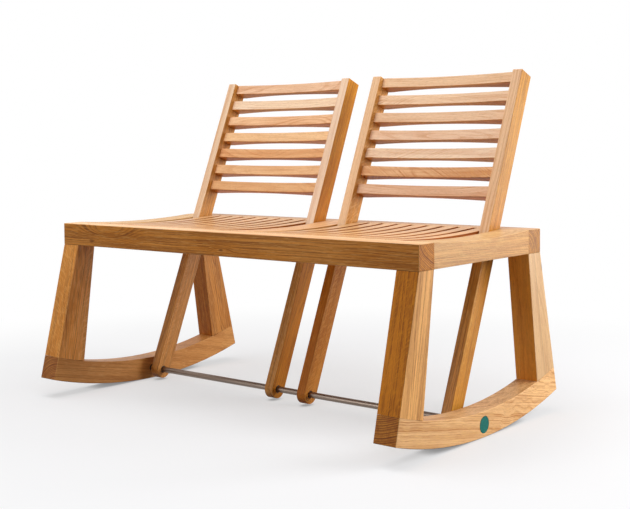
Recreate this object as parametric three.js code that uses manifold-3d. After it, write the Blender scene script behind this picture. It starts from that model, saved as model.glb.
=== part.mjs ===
// Two-seat rocking bench in oak with two backrests that swing over on a steel rod.
// Millimetres. X runs along the bench, Y to its rear, Z up. The origin is on the floor,
// in the middle of the overall length and depth. Every shape below is drawn about the plane
// halfway between the two long rails, and the finished bench is moved forward at the end.
import * as THREE from 'three';
import { mergeVertices } from 'three/addons/utils/BufferGeometryUtils.js';
import Module from 'manifold-3d';

const wasm = await Module();
wasm.setup();

// Whole bench
const benchLength = 1200;
const seatDepth = 542;
const seatHeight = 475;

// Seat frame
const railHeight = 60;
const railDepth = 60;
const endRailWidth = 79;
const centreRailWidth = 82;
const dishDepth = 8;
const dishSteps = 12;

// Seat slats, and the slots beside them that the backrests pass through
const seatSlatCount = 9;
const seatSlatWidth = 33;
const seatSlatThickness = 26;
const slotClearance = 1.5;

// Side frames: tapered legs on curved rockers
const sideThickness = 60;
const legOuterSplay = THREE.MathUtils.degToRad(13.8);
const legInnerSplay = THREE.MathUtils.degToRad(7.8);
const rockerRadius = 1280;
const rockerHeight = 62;
const rockerFlat = 28;
const rockerSteps = 12;
const legFootSteps = 4;

// Backrests
const stileWidth = 28;
const stileDepth = 50;
const stileReach = 910;
const stileEndSteps = 14;
const backSlatCount = 7;
const backSlatHeight = 29;
const backSlatStartShare = 0.19;
const backSlatThickness = 34;
const backSlatRearInset = 1;
const backSlatSquareEnd = 16;
const backSlatFrontHollow = 7;
const backSlatRearHollow = 12;
const backSlatSteps = 16;

// Pivot rod, its bushes and the disc over its end
const rodDiameter = 16;
const rodHeightShare = 0.48;
const rodBlindReach = 40;
const bushWall = 1.5;
const bushInset = 2;
const discDiameter = 40;
const discThickness = 2;
const roundSides = 24;
const discSides = 40;

// Stub tenons
const seatSlatShoulder = 6;
const seatSlatTenonLength = 15;
const railTenonWidthShare = 0.5;
const railTenonLength = 22;
const railTenonDrop = 12;
const tenonWall = 6;
const legTenonWidth = 26;
const legTenonDepth = 24;
const legTenonLength = 20;
const footTenonDepth = 36;
const footTenonLength = 24;
const backSlatShoulder = 4;
const backSlatCheek = 11;
const backSlatTenonLength = 14;

// Fits
const fitGap = 0.3;
const runningGap = 0.3;
const restGap = 0.3;
const overrun = 5;

// Wood and metal
const oakShades = [0xc58d5a, 0xbd834f, 0xcb9563, 0xb97e4b, 0xc88f5e];
const oakRoughness = 0.55;
const steelColour = 0x9b948b;
const steelRoughness = 0.35;
const bushColour = 0x2b2320;
const bushRoughness = 0.6;
const discColour = 0x1f6b5d;
const discRoughness = 0.4;

// Places that follow from the sizes above
const halfLength = benchLength / 2;
const halfDepth = seatDepth / 2;
const innerHalfDepth = halfDepth - railDepth;
const railBottom = seatHeight - railHeight;
const railMiddle = seatHeight - railHeight / 2;
const railCentreDepth = halfDepth - railDepth / 2;
const endRailCentre = halfLength - endRailWidth / 2;
const stileSlotWidth = stileWidth + 2 * slotClearance;
const seatWidth = halfLength - centreRailWidth / 2 - endRailWidth;
const seatCentre = centreRailWidth / 2 + seatWidth / 2;
const slatField = seatWidth - 2 * stileSlotWidth;
const seatSlatPitch = (slatField - seatSlatWidth) / (seatSlatCount - 1);
const sideCentre = halfLength - sideThickness / 2;
const sideInner = halfLength - sideThickness;
const rodHeight = rockerHeight * rodHeightShare;
const bushDiameter = rodDiameter + 2 * (runningGap + bushWall);
const bushBore = bushDiameter + 2 * fitGap;
const bushLength = stileWidth - 2 * bushInset;
const stileOffset = (slatField + stileSlotWidth) / 2;
const backSlatLength = 2 * stileOffset - stileWidth;
const backSlatRear = stileDepth / 2 - backSlatRearInset;
const backSlatFront = backSlatRear - backSlatThickness;
const backSlatMiddle = (backSlatRear + backSlatFront) / 2;
const backTenonHeight = backSlatHeight - 2 * backSlatShoulder;
const backTenonThickness = backSlatThickness - 2 * backSlatCheek;
const sides = [-1, 1];
const sideNames = { '-1': 'left', 1: 'right' };

// The rockers' arcs share one centre, set so that the flat in the middle lies on the floor
const arcCentre = new THREE.Vector2(0, Math.sqrt(rockerRadius ** 2 - (rockerFlat / 2) ** 2));
const rockerTopRadius = rockerRadius - rockerHeight;

// At rest the rear face of the stiles touches the rear rail's upper inner edge
const leanReach = Math.hypot(innerHalfDepth, seatHeight - rodHeight);
const leanAngle = Math.atan2(innerHalfDepth, seatHeight - rodHeight)
  - Math.asin((stileDepth / 2 + restGap) / leanReach);

// The back slats are spread over the stile above the seat, with a free share at its bottom
const seatCrossing = (seatHeight - rodHeight) / Math.cos(leanAngle);
const lowestSlatBottom = seatCrossing + (stileReach - seatCrossing) * backSlatStartShare;
const backSlatPitch = (stileReach - backSlatHeight - lowestSlatBottom) / (backSlatCount - 1);

// Turns a shape drawn in Y and Z, and pushed out along its third axis, into a bar along X
const alongX = new THREE.Matrix4().makeBasis(
  new THREE.Vector3(0, 1, 0),
  new THREE.Vector3(0, 0, 1),
  new THREE.Vector3(1, 0, 0),
);

function bar(outline, width, holes = []) {
  const shape = new THREE.Shape(outline);
  shape.holes = holes.map((points) => new THREE.Path(points));
  const geometry = new THREE.ExtrudeGeometry(shape, { depth: width, bevelEnabled: false });
  geometry.translate(0, 0, -width / 2);
  return geometry.applyMatrix4(alongX);
}

function roundBar(diameter, length, sideCount = roundSides) {
  const radius = diameter / 2;
  const geometry = new THREE.CylinderGeometry(radius, radius, length, sideCount);
  return geometry.rotateX(Math.PI / 2).applyMatrix4(alongX);
}

function block(width, depth, height, x, y, z) {
  return new THREE.BoxGeometry(width, depth, height).translate(x, y, z);
}

// Points on an arc, from one angle to another, both ends included
function arcPoints(centre, radius, startAngle, endAngle, steps) {
  const points = [];
  for (let step = 0; step <= steps; step += 1) {
    const angle = startAngle + (endAngle - startAngle) * step / steps;
    points.push(new THREE.Vector2(
      centre.x + radius * Math.cos(angle),
      centre.y + radius * Math.sin(angle),
    ));
  }
  return points;
}

// A shallow hollow in a straight edge, as an arc of the given depth. It sinks to the left of
// the way from start to end, which is into the wood where an outline runs anticlockwise.
function hollowPoints(start, end, depth, steps) {
  const chord = new THREE.Vector2().subVectors(end, start);
  const half = chord.length() / 2;
  const radius = (half ** 2 + depth ** 2) / (2 * depth);
  const inward = new THREE.Vector2(-chord.y, chord.x).normalize();
  const middle = new THREE.Vector2().addVectors(start, end).divideScalar(2);
  const points = [];
  for (let step = 0; step <= steps; step += 1) {
    const along = -half + 2 * half * step / steps;
    const sink = Math.sqrt(radius ** 2 - along ** 2) - (radius - depth);
    points.push(middle.clone()
      .addScaledVector(chord.clone().normalize(), along)
      .addScaledVector(inward, sink));
  }
  return points;
}

function toSolid(geometry) {
  const bare = geometry.clone();
  bare.deleteAttribute('normal');
  bare.deleteAttribute('uv');
  const merged = mergeVertices(bare);
  return new wasm.Manifold(new wasm.Mesh({
    numProp: 3,
    vertProperties: merged.attributes.position.array,
    triVerts: Uint32Array.from(merged.index.array),
  }));
}

// Joins the added geometries to a body, then cuts the others out of it
function carve(body, added, cut) {
  let solid = toSolid(body);
  for (const geometry of added) solid = solid.add(toSolid(geometry));
  for (const geometry of cut) solid = solid.subtract(toSolid(geometry));
  const mesh = solid.getMesh();
  const result = new THREE.BufferGeometry();
  result.setAttribute('position', new THREE.BufferAttribute(mesh.vertProperties, 3));
  result.setIndex(new THREE.BufferAttribute(mesh.triVerts, 1));
  result.computeVertexNormals();
  return result;
}

let shadeIndex = 0;
function oak() {
  shadeIndex += 1;
  const color = oakShades[shadeIndex % oakShades.length];
  return new THREE.MeshStandardMaterial({ color, roughness: oakRoughness, metalness: 0 });
}

function place(parent, name, geometry, material, x = 0, y = 0, z = 0) {
  const mesh = new THREE.Mesh(geometry, material);
  mesh.name = name;
  mesh.position.set(x, y, z);
  parent.add(mesh);
  return mesh;
}

// Top edge of the seat between the two long rails, from rear to front, in Y and Z
function dishedTop() {
  const rear = new THREE.Vector2(innerHalfDepth, seatHeight);
  const front = new THREE.Vector2(-innerHalfDepth, seatHeight);
  return hollowPoints(rear, front, dishDepth, dishSteps);
}

// A bar from rail to rail with the seat's dished top, and a stub tenon at each end
function crossBar(width, underside, tenon) {
  const outline = [
    new THREE.Vector2(-innerHalfDepth, underside),
    new THREE.Vector2(innerHalfDepth, underside),
    ...dishedTop(),
  ];
  const tenons = sides.map((end) => block(
    tenon.width,
    tenon.length + overrun,
    tenon.height,
    0,
    end * (innerHalfDepth + (tenon.length - overrun) / 2),
    tenon.z,
  ));
  return carve(bar(outline, width), tenons, []);
}

// The hole in the front rail that such a tenon goes into
function crossMortise(tenon, x) {
  const depth = tenon.length + fitGap + overrun;
  return block(
    tenon.width + 2 * fitGap,
    depth,
    tenon.height + 2 * fitGap,
    x,
    -innerHalfDepth + overrun - depth / 2,
    tenon.z,
  );
}

const seatSlatTenon = {
  width: seatSlatWidth - 2 * seatSlatShoulder,
  height: seatSlatThickness - 2 * seatSlatShoulder,
  length: seatSlatTenonLength,
  z: seatHeight - seatSlatThickness / 2,
};

// The tenons of the wide rails lie above those of the legs, with a wall of wood between
function railTenon(railWidth) {
  const top = seatHeight - railTenonDrop;
  const bottom = railBottom + legTenonLength + tenonWall;
  return {
    width: railWidth * railTenonWidthShare,
    height: top - bottom,
    length: railTenonLength,
    z: (top + bottom) / 2,
  };
}

function seatSlatPlace(side, index) {
  return side * seatCentre + (index - (seatSlatCount - 1) / 2) * seatSlatPitch;
}

// The front rail lies across all the tenons and the leg tops. The rear rail is the same, turned.
function longRail() {
  const cuts = [crossMortise(railTenon(centreRailWidth), 0)];
  for (const side of sides) {
    cuts.push(crossMortise(railTenon(endRailWidth), side * endRailCentre));
    cuts.push(block(
      legTenonWidth + 2 * fitGap,
      legTenonDepth + 2 * fitGap,
      legTenonLength + fitGap + overrun,
      side * sideCentre,
      -railCentreDepth,
      railBottom + (legTenonLength + fitGap - overrun) / 2,
    ));
    for (let index = 0; index < seatSlatCount; index += 1) {
      cuts.push(crossMortise(seatSlatTenon, seatSlatPlace(side, index)));
    }
  }
  const body = block(benchLength, railDepth, railHeight, 0, -railCentreDepth, railMiddle);
  return carve(body, [], cuts);
}

// Where a line that leaves the rail's underside at a splay reaches an arc of the rocker
function splayMeets(startDepth, splay, radius) {
  const start = new THREE.Vector2(startDepth, railBottom);
  const way = new THREE.Vector2(Math.sin(splay), -Math.cos(splay));
  const fromCentre = new THREE.Vector2().subVectors(start, arcCentre);
  const half = way.dot(fromCentre);
  const reach = -half + Math.sqrt(half ** 2 - fromCentre.lengthSq() + radius ** 2);
  return start.addScaledVector(way, reach);
}

function arcAngle(point) {
  return Math.atan2(point.y - arcCentre.y, point.x - arcCentre.x);
}

const footTenonCentre = (splayMeets(halfDepth, legOuterSplay, rockerTopRadius).x
  + splayMeets(innerHalfDepth, legInnerSplay, rockerTopRadius).x) / 2;
const footTenonTop = arcCentre.y - Math.sqrt(rockerTopRadius ** 2 - footTenonCentre ** 2);

// A rear leg. Its foot follows the rocker's top, and a front leg is the same, turned.
function leg() {
  const footRadius = rockerTopRadius - fitGap;
  const inner = splayMeets(innerHalfDepth, legInnerSplay, footRadius);
  const outer = splayMeets(halfDepth, legOuterSplay, footRadius);
  const outline = [
    new THREE.Vector2(halfDepth, railBottom),
    new THREE.Vector2(innerHalfDepth, railBottom),
    ...arcPoints(arcCentre, footRadius, arcAngle(inner), arcAngle(outer), legFootSteps),
  ];
  const topTenon = block(
    legTenonWidth,
    legTenonDepth,
    legTenonLength + overrun,
    0,
    railCentreDepth,
    railBottom + (legTenonLength - overrun) / 2,
  );
  const footTenon = block(
    legTenonWidth,
    footTenonDepth,
    footTenonLength + footTenonDepth,
    0,
    footTenonCentre,
    footTenonTop + (footTenonDepth - footTenonLength) / 2,
  );
  return carve(bar(outline, sideThickness), [topTenon, footTenon], []);
}

// A rocker: two arcs about one centre, a flat in the middle of the lower one, and ends that
// carry on the line of the legs
function rocker(side) {
  const lower = splayMeets(halfDepth, legOuterSplay, rockerRadius);
  const upper = splayMeets(halfDepth, legOuterSplay, rockerTopRadius);
  const flatEnd = new THREE.Vector2(rockerFlat / 2, 0);
  const lowAngle = arcAngle(lower);
  const flatAngle = arcAngle(flatEnd);
  const highAngle = arcAngle(upper);
  const straightDown = -Math.PI / 2;
  const mirrored = (angle) => 2 * straightDown - angle;
  const outline = [
    ...arcPoints(arcCentre, rockerRadius, mirrored(lowAngle), mirrored(flatAngle), rockerSteps),
    ...arcPoints(arcCentre, rockerRadius, flatAngle, lowAngle, rockerSteps),
    ...arcPoints(arcCentre, rockerTopRadius, highAngle, mirrored(highAngle), 2 * rockerSteps),
  ];
  const inwards = -side;
  const innerFace = inwards * sideThickness / 2;
  // A round hole from the inner face, and one from the outer face
  const fromInside = (diameter, depth) => roundBar(diameter, depth + overrun)
    .translate(innerFace - inwards * (depth - overrun) / 2, 0, rodHeight);
  const fromOutside = (diameter, depth) => roundBar(diameter, depth + overrun, discSides)
    .translate(-innerFace + inwards * (depth - overrun) / 2, 0, rodHeight);
  const rodBore = rodDiameter + 2 * fitGap;
  const cuts = [fromInside(bushBore, bushLength + bushInset + fitGap)];
  if (side > 0) {
    cuts.push(fromInside(rodBore, sideThickness));
    cuts.push(fromOutside(discDiameter + 2 * fitGap, discThickness));
  } else {
    cuts.push(fromInside(rodBore, rodBlindReach + fitGap));
  }
  for (const end of sides) {
    const mortiseDepth = footTenonLength + fitGap;
    cuts.push(block(
      legTenonWidth + 2 * fitGap,
      footTenonDepth + 2 * fitGap,
      mortiseDepth + footTenonDepth,
      0,
      end * footTenonCentre,
      footTenonTop + (footTenonDepth - mortiseDepth) / 2,
    ));
  }
  return carve(bar(outline, sideThickness), [], cuts);
}

function bush() {
  const sleeve = roundBar(bushDiameter, bushLength);
  const bore = roundBar(rodDiameter + 2 * runningGap, bushLength + 2 * overrun);
  return carve(sleeve, [], [bore]);
}

// A stile in its backrest's own frame: the rod at the origin, Z up the stile.
// Its mortises are on the side that faces the slats.
function stile(inwards) {
  const half = stileDepth / 2;
  const outline = [
    new THREE.Vector2(half, stileReach),
    new THREE.Vector2(-half, stileReach),
    ...arcPoints(new THREE.Vector2(), half, -Math.PI, 0, stileEndSteps),
  ];
  const bore = arcPoints(new THREE.Vector2(), bushBore / 2, 0, 2 * Math.PI, roundSides);
  bore.pop();
  const mortiseDepth = backSlatTenonLength + fitGap;
  const cuts = [];
  for (let index = 0; index < backSlatCount; index += 1) {
    cuts.push(block(
      mortiseDepth + overrun,
      backTenonThickness + 2 * fitGap,
      backTenonHeight + 2 * fitGap,
      inwards * (stileWidth + overrun - mortiseDepth) / 2,
      backSlatMiddle,
      backSlatPlace(index),
    ));
  }
  return carve(bar(outline, stileWidth, [bore]), [], cuts);
}

// Height of a back slat's middle above the rod, counted from the top slat down
function backSlatPlace(index) {
  return stileReach - backSlatHeight / 2 - index * backSlatPitch;
}

// A back slat: square ends, a hollow on each face between them, and a stub tenon at each end
function backSlat() {
  const end = backSlatLength / 2;
  const hollowEnd = end - backSlatSquareEnd;
  const frontStart = new THREE.Vector2(-hollowEnd, backSlatFront);
  const frontEnd = new THREE.Vector2(hollowEnd, backSlatFront);
  const rearStart = new THREE.Vector2(hollowEnd, backSlatRear);
  const rearEnd = new THREE.Vector2(-hollowEnd, backSlatRear);
  const outline = [
    new THREE.Vector2(-end, backSlatFront),
    ...hollowPoints(frontStart, frontEnd, backSlatFrontHollow, backSlatSteps),
    new THREE.Vector2(end, backSlatFront),
    new THREE.Vector2(end, backSlatRear),
    ...hollowPoints(rearStart, rearEnd, backSlatRearHollow, backSlatSteps),
    new THREE.Vector2(-end, backSlatRear),
  ];
  const body = new THREE.ExtrudeGeometry(
    new THREE.Shape(outline),
    { depth: backSlatHeight, bevelEnabled: false },
  ).translate(0, 0, -backSlatHeight / 2);
  const tenons = sides.map((side) => block(
    backSlatTenonLength + overrun,
    backTenonThickness,
    backTenonHeight,
    side * (end + (backSlatTenonLength - overrun) / 2),
    backSlatMiddle,
    0,
  ));
  return carve(body, tenons, []);
}

function addSeat(bench) {
  const rail = longRail();
  place(bench, 'front_rail', rail, oak());
  place(bench, 'rear_rail', rail, oak()).rotation.z = Math.PI;
  const endRail = crossBar(endRailWidth, railBottom, railTenon(endRailWidth));
  const centreRail = crossBar(centreRailWidth, railBottom, railTenon(centreRailWidth));
  place(bench, 'centre_rail', centreRail, oak());
  const seatSlat = crossBar(seatSlatWidth, seatHeight - seatSlatThickness, seatSlatTenon);
  for (const side of sides) {
    place(bench, `${sideNames[side]}_end_rail`, endRail, oak(), side * endRailCentre);
    for (let index = 0; index < seatSlatCount; index += 1) {
      const name = `${sideNames[side]}_seat_slat_${index + 1}`;
      place(bench, name, seatSlat, oak(), seatSlatPlace(side, index));
    }
  }
}

function addSideFrames(bench) {
  const legShape = leg();
  for (const side of sides) {
    const x = side * sideCentre;
    place(bench, `${sideNames[side]}_rear_leg`, legShape, oak(), x);
    place(bench, `${sideNames[side]}_front_leg`, legShape, oak(), x).rotation.z = Math.PI;
    place(bench, `${sideNames[side]}_rocker`, rocker(side), oak(), x);
  }
}

function addPivot(bench) {
  const steel = new THREE.MeshStandardMaterial({
    color: steelColour, roughness: steelRoughness, metalness: 1,
  });
  const nylon = new THREE.MeshStandardMaterial({
    color: bushColour, roughness: bushRoughness, metalness: 0,
  });
  const green = new THREE.MeshStandardMaterial({
    color: discColour, roughness: discRoughness, metalness: 0,
  });
  const rodLeft = -sideInner - rodBlindReach;
  const rodRight = halfLength - discThickness - fitGap;
  const rod = roundBar(rodDiameter, rodRight - rodLeft);
  place(bench, 'pivot_rod', rod, steel, (rodLeft + rodRight) / 2, 0, rodHeight);
  const disc = roundBar(discDiameter, discThickness, discSides);
  const discCentre = halfLength - discThickness / 2;
  place(bench, 'rod_end_disc', disc, green, discCentre, 0, rodHeight);
  const bushShape = bush();
  const bushCentre = sideInner + bushInset + bushLength / 2;
  for (const side of sides) {
    const name = `${sideNames[side]}_rocker_bush`;
    place(bench, name, bushShape, nylon, side * bushCentre, 0, rodHeight);
  }
  return { bushShape, nylon };
}

function addBackrest(bench, side, pivot) {
  const back = new THREE.Group();
  back.position.set(side * seatCentre, 0, rodHeight);
  back.rotation.x = -leanAngle;
  bench.add(back);
  const name = `${sideNames[side]}_back`;
  for (const end of sides) {
    const x = end * stileOffset;
    place(back, `${name}_${sideNames[end]}_stile`, stile(-end), oak(), x);
    place(back, `${name}_${sideNames[end]}_bush`, pivot.bushShape, pivot.nylon, x);
  }
  const slat = backSlat();
  for (let index = 0; index < backSlatCount; index += 1) {
    place(back, `${name}_slat_${index + 1}`, slat, oak(), 0, 0, backSlatPlace(index));
  }
}

const bench = new THREE.Group();
addSeat(bench);
addSideFrames(bench);
const pivot = addPivot(bench);
for (const side of sides) addBackrest(bench, side, pivot);

// The backrests lean out further behind than the rockers reach in front
const frontReach = splayMeets(halfDepth, legOuterSplay, rockerRadius).x;
const rearReach = stileReach * Math.sin(leanAngle) + stileDepth / 2 * Math.cos(leanAngle);
bench.position.y = (frontReach - rearReach) / 2;

export default bench;
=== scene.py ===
# %% [markdown]
# # A rocking bench in oiled oak
#
# Two people can sit on this bench. It stands on two curved rockers, and its two backrests hang on a steel
# rod near the floor, so each can lean to the rear or be swung over to the front. The solid model already
# fixes every shape. This lesson turns it into a picture: it eases the edges as a joiner's plane does, gives
# each board its own growth rings, and lights the whole softly on a pale floor.

# %% Load the solid bench as a fixed frame
import math
from random import Random
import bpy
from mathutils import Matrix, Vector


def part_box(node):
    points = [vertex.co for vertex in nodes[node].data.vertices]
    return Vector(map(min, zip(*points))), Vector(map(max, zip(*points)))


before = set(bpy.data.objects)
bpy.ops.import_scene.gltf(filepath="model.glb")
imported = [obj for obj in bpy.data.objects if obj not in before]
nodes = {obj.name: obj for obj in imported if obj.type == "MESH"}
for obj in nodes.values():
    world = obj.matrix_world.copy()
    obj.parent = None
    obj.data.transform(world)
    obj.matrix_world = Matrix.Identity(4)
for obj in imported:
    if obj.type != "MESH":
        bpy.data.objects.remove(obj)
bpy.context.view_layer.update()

from types import SimpleNamespace

import bpy
from mathutils import Matrix, Vector

MM = 0.001

# %% [markdown]
# ## The camera
#
# The picture was taken from the front and to the right, a little above the seat, with a long lens, so the
# rails stay nearly parallel. A camera can be aimed by hand, by a constraint, or by its own three axes. The
# axes are used here, because they place it exactly: which way is right, which way is up, and which way is
# back towards the photographer. A small downward shift of the film keeps the legs as upright as they look.

# %% Place the camera
LENS = 65.387
FILM_WIDTH = 36
FILM_SHIFT = -0.0865
STANDPOINT = Vector((1.9797, -2.3100, 0.6953))
RIGHTWARD = Vector((0.77376, 0.63343, -0.00835))
UPWARD = Vector((-0.02539, 0.04418, 0.99870))
BACKWARD = Vector((0.63298, -0.77254, 0.05026))

film_axes = Matrix((RIGHTWARD, UPWARD, BACKWARD)).transposed()
camera = bpy.data.objects.new("studio_camera", bpy.data.cameras.new("studio_camera"))
camera.data.sensor_fit = "HORIZONTAL"
camera.data.sensor_width = FILM_WIDTH
camera.data.lens = LENS
camera.data.shift_y = FILM_SHIFT
camera.matrix_world = Matrix.Translation(STANDPOINT) @ film_axes.to_4x4()
bpy.context.scene.collection.objects.link(camera)
bpy.context.scene.camera = camera
bpy.context.scene.view_settings.view_transform = "Standard"
print("the camera stands", round(STANDPOINT.length, 2), "m from the middle of the bench")

# %% [markdown]
# ## A small helper for joining nodes
#
# A finish in Blender is a net of nodes. Writing each node and each link out by hand is long, so this helper
# keeps one net and offers the few sums that wood needs. Every call returns an output socket, and that
# socket can be fed straight into the next call, so the net reads like ordinary arithmetic.

# %% Make the helper
MIX_FACTOR, MIX_FIRST, MIX_SECOND, MIX_RESULT = 0, 6, 7, 2


class Net:
    """One node tree, and short ways to add to it."""

    def __init__(self, tree):
        self.tree = tree

    def add(self, kind, feeds=(), **settings):
        node = self.tree.nodes.new(kind)
        for name, value in settings.items():
            setattr(node, name, value)
        self.feed(node.inputs, feeds)
        return node

    def feed(self, sockets, feeds):
        """Links what is an output, and sets what is a plain value."""
        for name, value in dict(feeds).items():
            if isinstance(value, bpy.types.NodeSocket):
                self.tree.links.new(value, sockets[name])
            else:
                sockets[name].default_value = value

    def sum(self, operation, *values):
        return self.add("ShaderNodeMath", enumerate(values), operation=operation).outputs[0]

    def times(self, first, *others):
        for other in others:
            first = self.sum("MULTIPLY", first, other)
        return first

    def vector(self, operation, *values, result=0):
        return self.add("ShaderNodeVectorMath", enumerate(values), operation=operation).outputs[result]

    def scale(self, vector, factor):
        return self.add("ShaderNodeVectorMath", {0: vector, "Scale": factor}, operation="SCALE").outputs[0]

    def combine(self, x, y, z):
        return self.add("ShaderNodeCombineXYZ", enumerate((x, y, z))).outputs[0]

    def split(self, vector):
        return self.add("ShaderNodeSeparateXYZ", [(0, vector)]).outputs

    def step(self, value, low, high, first=0.0, last=1.0):
        return self.add("ShaderNodeMapRange", enumerate((value, low, high, first, last)),
                        interpolation_type="SMOOTHSTEP").outputs[0]

    def noise(self, vector, detail=2.0, roughness=0.5, colour=False):
        made = self.add("ShaderNodeTexNoise", {"Vector": vector, "Scale": 1.0, "Detail": detail,
                                               "Roughness": roughness})
        return made.outputs["Color" if colour else "Fac"]

    def streaks(self, place, pace, **settings):
        return self.noise(self.vector("MULTIPLY", place, pace), **settings)

    def blend(self, factor, first, second, way="MIX"):
        return self.add("ShaderNodeMix", {MIX_FACTOR: factor, MIX_FIRST: first, MIX_SECOND: second},
                        data_type="RGBA", blend_type=way).outputs[MIX_RESULT]


print("the helper can", ", ".join(name for name in vars(Net) if not name.startswith("_")))

# %% [markdown]
# ## The colours of oiled oak
#
# Oak is not one brown. Its dense late wood is golden, the cloudy parts are warmer, its pores are nearly black
# brown and its rays are pale gold. A pale straw with paler lines is a painted sheen for faces that look up,
# and also the colour of faded wood. Blender mixes colours as amounts of light, while a paint chart gives them
# as they look, so one small function turns the second into the first: a straight slope for the darkest
# colours and a power for the rest. The other colours below are those of the wood itself, without the lamps
# and without the oil's gloss.

# %% Mix the colours
CHART_TOP = 255
DARK_CHART, DARK_SLOPE = 0.04045, 12.92
BRIGHT_OFFSET, BRIGHT_POWER = 0.055, 2.4


def paint(red, green, blue):
    """A colour as a paint chart gives it, 0 to 255, in the linear light that Blender mixes."""
    def linear(value):
        value /= CHART_TOP
        if value <= DARK_CHART:
            return value / DARK_SLOPE
        return ((value + BRIGHT_OFFSET) / (1 + BRIGHT_OFFSET)) ** BRIGHT_POWER
    return (linear(red), linear(green), linear(blue), 1.0)


PALE_OAK = paint(221, 152, 72)
WARM_OAK = paint(199, 128, 48)
DARK_LINE = paint(112, 58, 18)
WARM_LINE = paint(168, 98, 34)
PORE_BROWN = paint(76, 40, 16)
FLECK_GOLD = paint(240, 190, 118)
# painted sheen: a pale straw and paler lines stand for the lamps' light on faces that look up; the straw also
# colours faded boards
SHEEN_AND_FADE_STRAW = paint(252, 220, 184)
SHEEN_LINE = paint(205, 140, 88)
print("pale oak in linear light is", [round(part, 3) for part in PALE_OAK[:3]])

# %% [markdown]
# ## Where a point lies in the tree
#
# A board is a slice through a tree. The tree grew in rings round its pith, and each ring starts with a dark
# row of open pores and ends in dense pale wood. A photograph of wood could be pasted on, but it would repeat
# and would never turn a corner correctly. Here the rings are worked out in space, from the distance to the
# pith, so each face of a board shows its own cut of the same tree, and the end shows the rings themselves.
#
# Some trees grow in waves, so the board is first shifted by a slow ripple. The pith is not quite straight
# either: it leans through the board and sways a little.

# %% Find the place in the tree
GLUE_OFFSET = (0.41, 0.023, 0.037)
SEED_DRIFT = (7.13, 3.71, 5.37)
WAVE_PACE = (15.0, 2.5, 2.5)
WAVE_FROM, WAVE_FULL, WAVE_LEAST = 0.0, 0.15, 0.25
SWAY_PACE = (2.4, 9.0, 9.0)
SWAY_REACH = (0.0, 16 * MM, 16 * MM)
MEAN_NOISE = 0.5


def find_place(net, given):
    """A point's place, its way along the board, and its spoke, outward way and radius in the tree."""
    board = net.vector("ADD", given["Board"], net.scale(GLUE_OFFSET, given["Stave"]))
    ripple = net.sum("SUBTRACT", net.streaks(board, WAVE_PACE, detail=1.0), MEAN_NOISE)
    reach = net.step(net.split(board)[0], WAVE_FROM, WAVE_FULL, WAVE_LEAST, 1.0)
    ripple = net.times(ripple, given["Wave"], reach)
    board = net.vector("ADD", board, net.combine(0.0, ripple, ripple))
    place = net.vector("ADD", board, net.scale(SEED_DRIFT, given["Seed"]))

    sway = net.vector("SUBTRACT", net.streaks(place, SWAY_PACE, colour=True), (MEAN_NOISE,) * 3)
    sway = net.vector("MULTIPLY", sway, SWAY_REACH)
    along = net.split(board)[0]
    pith = net.vector("ADD", given["Pith"], net.scale(given["Lean"], along))
    _, across, deep = net.split(net.vector("SUBTRACT", net.vector("ADD", board, sway), pith))
    outward = net.combine(0.0, across, deep)
    return SimpleNamespace(place=place, along=along, spoke=net.sum("ARCTAN2", deep, across),
                           outward=net.vector("NORMALIZE", outward),
                           radius=net.sum("ADD", net.vector("LENGTH", outward, result=1), given["Swell"]))


print("a pith sways by up to", SWAY_REACH[1] * MEAN_NOISE / MM, "mm to each side")

# %% [markdown]
# ## The rings of the years
#
# No two years are alike: a dry one grows a thin ring, a wet one a wide one, and some years leave hardly a
# line. So the distance to the pith is first stretched by a soft noise, and each year draws its own luck. A
# ring is dark in its early wood, where the pores stand, and a little darker again at its very end. The line
# of pores is not drawn with a ruler, so a stretched noise breaks it up.

# %% Grow the rings
GROWTH_PACE, GROWTH_REACH = 90.0, 16 * MM
EARLY_END, EARLY_START = 0.62, 0.06
LATE_START, LATE_DARK = 0.72, 0.35
FAINTEST_YEAR = 0.2
BREAK_PACE = (9.0, 130.0, 130.0)
BREAK_LIMITS, BREAK_LEAST = (0.32, 0.60), 0.25


def grow_rings(net, given, wood):
    """Stretches the radius and adds the early wood, the late wood and the year's dark line."""
    years = net.combine(net.times(wood.radius, GROWTH_PACE), given["Seed"], 0.0)
    growth = net.noise(years, detail=3.0, roughness=0.7)
    wood.radius = net.sum("MULTIPLY_ADD", growth, GROWTH_REACH, wood.radius)
    ring = net.sum("DIVIDE", wood.radius, given["Ring"])
    season = net.sum("FRACT", ring)
    luck = net.add("ShaderNodeTexWhiteNoise",
                   {"Vector": net.combine(net.sum("FLOOR", ring), given["Seed"], 0.0)},
                   noise_dimensions="2D").outputs["Value"]
    wood.early = net.times(net.step(season, 0.0, EARLY_END, 1.0, 0.0), net.step(season, 0.0, EARLY_START))
    wood.ring_line = net.sum("MAXIMUM", wood.early, net.step(season, LATE_START, 1.0, 0.0, LATE_DARK))
    broken = net.streaks(wood.place, BREAK_PACE, detail=2.0, roughness=0.6)
    wood.year_line = net.times(wood.ring_line, net.step(luck, 0.0, 1.0, FAINTEST_YEAR, 1.0),
                               net.step(broken, *BREAK_LIMITS, BREAK_LEAST, 1.0))


print("early wood takes the first", EARLY_END, "of a ring")

# %% [markdown]
# ## Fibres, bands and pores
#
# Between the rings there is finer work. Fibres run along the board as thin strands, bands of denser wood are
# broader, and clouds of warmer colour are broadest of all. Pores are short scratches, most of them in the
# early wood. All of these could be modelled as real grooves, but they are a tenth of a millimetre deep, so
# noises stretched along the board are enough. Each pace is how many times a metre a noise changes: along,
# across and into the depth. The limits say where in the noise a mark begins and where it is full.

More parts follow.
